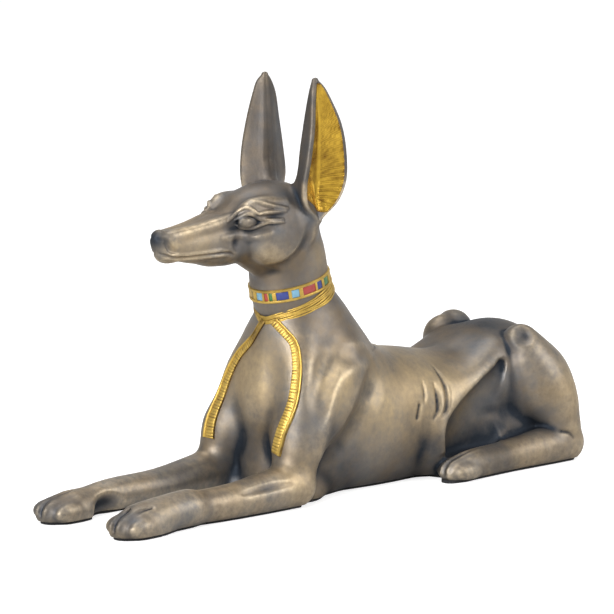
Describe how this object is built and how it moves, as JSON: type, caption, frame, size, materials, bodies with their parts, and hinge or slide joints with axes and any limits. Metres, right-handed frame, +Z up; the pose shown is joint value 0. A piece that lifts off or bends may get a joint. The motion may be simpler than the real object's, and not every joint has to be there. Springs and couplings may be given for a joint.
{
  "type": "jackal figure",
  "caption": "Recumbent jackal figure in bronze-look casting with tall gilded ears, enamelled collar and tied cord, for display on a shelf or table.",
  "frame": {"origin": "on the felt's underside, in the middle of the animal from side to side, under its belly", "axes": "+Z up; the jackal looks along -Y; its left side is +X"},
  "size_m": [0.0759, 0.243, 0.16],
  "materials": {
    "bronze_casting": "satin bronze-look patina, dark in the hollows and burnished on the high places, with gold and enamel colours painted on the ears, collar and cord",
    "black_felt": "matt black felt"
  },
  "bodies": {
    "root": {"jackal": "bronze_casting", "felt_pad": "black_felt"}
  },
  "joints": []
}
